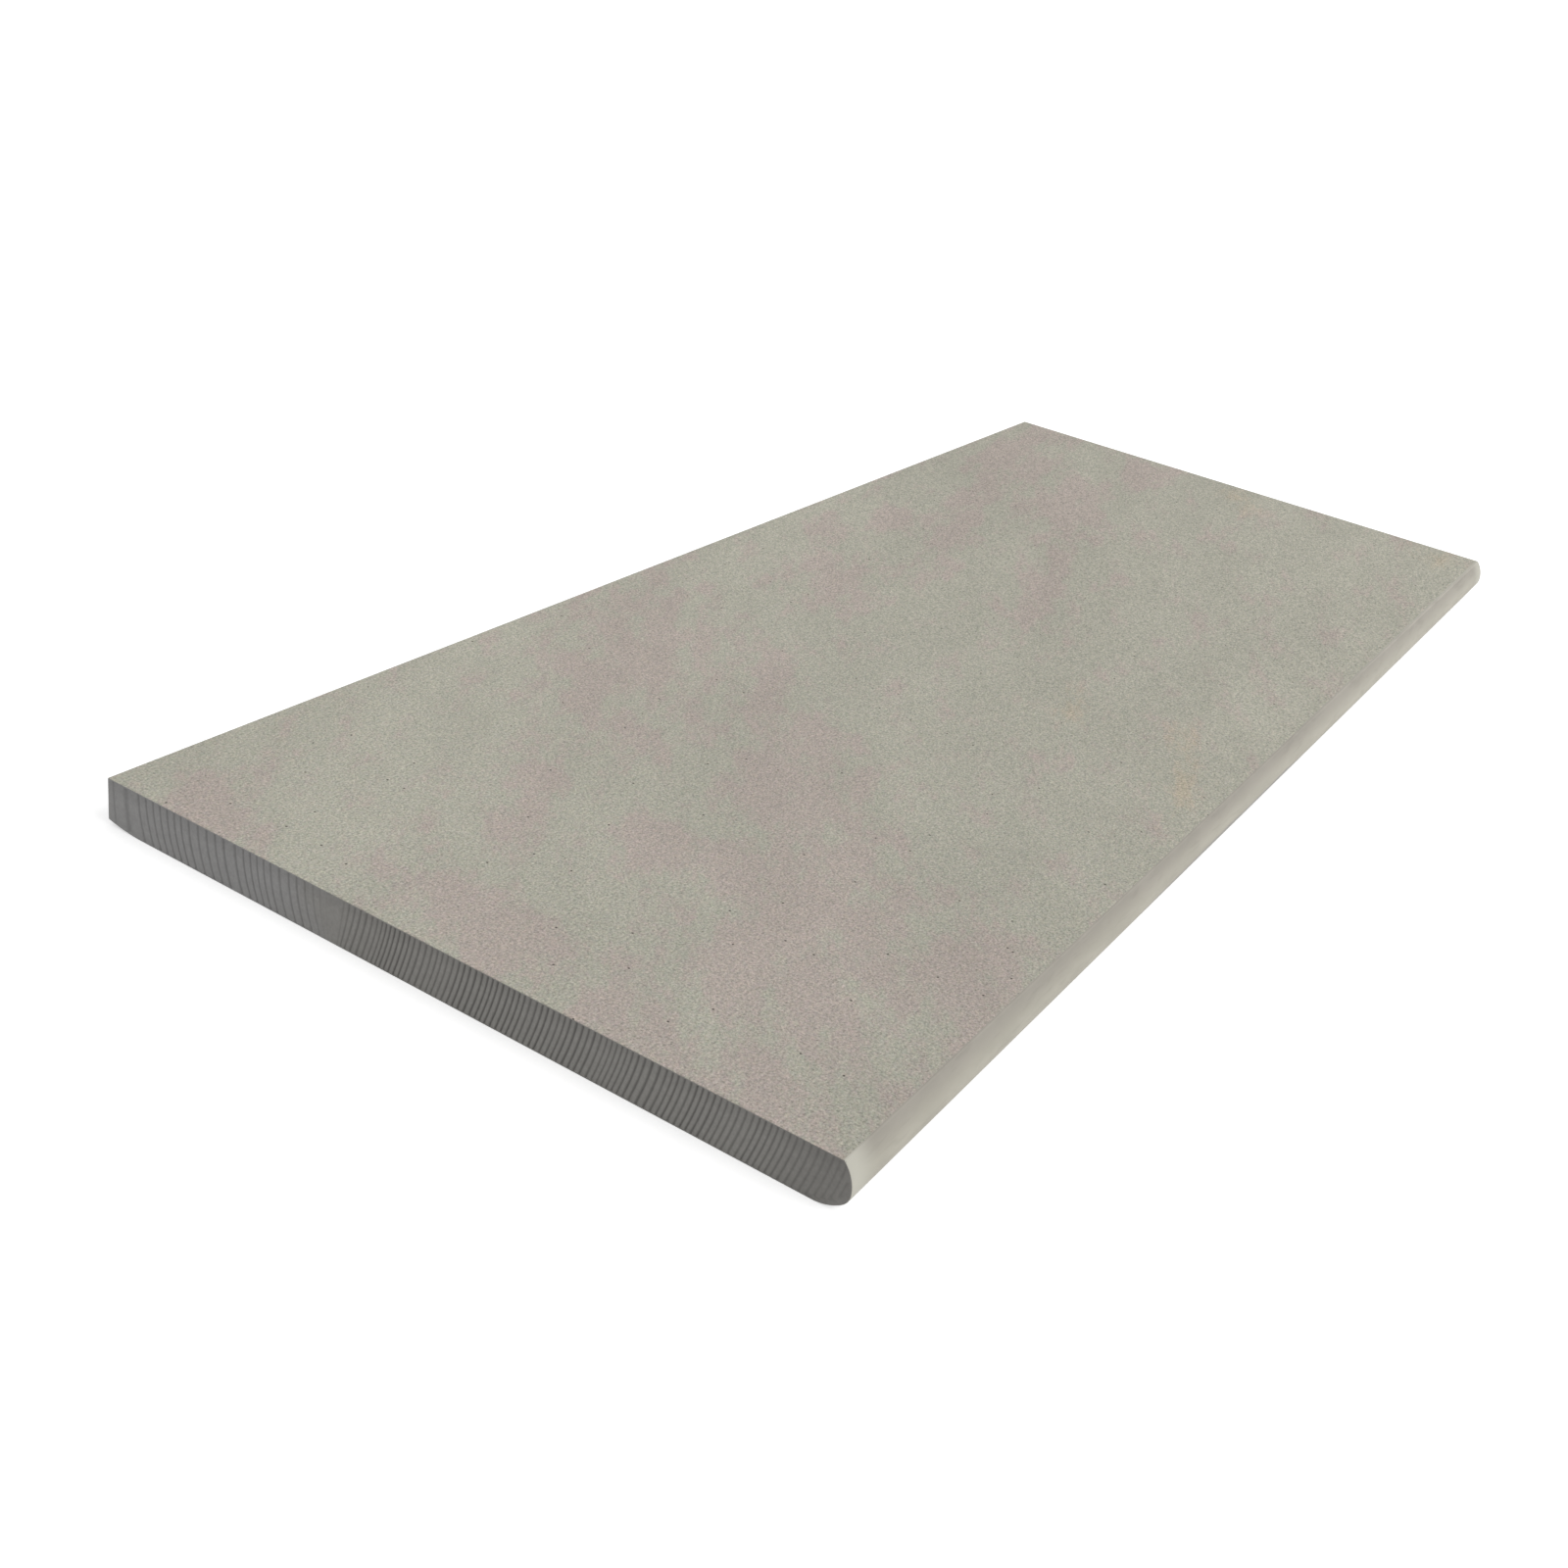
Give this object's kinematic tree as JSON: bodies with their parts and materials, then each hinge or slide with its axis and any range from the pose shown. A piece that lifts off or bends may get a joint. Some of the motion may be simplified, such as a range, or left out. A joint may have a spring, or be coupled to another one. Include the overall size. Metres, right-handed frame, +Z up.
{
  "type": "pool coping tile",
  "caption": "Flat sandstone-look porcelain pool coping tile with a rounded nose along one long edge, a straight back edge and sawn ends.",
  "frame": {"origin": "middle of the bottom of the tile's outer box, on the plane of its bed face", "axes": "+X along the length, +Y from the nose to the back edge, +Z up through the flat top"},
  "size_m": [0.8, 0.33, 0.02],
  "materials": {
    "porcelain": "matte"
  },
  "bodies": {
    "root": {"coping_tile": "porcelain"}
  },
  "joints": []
}
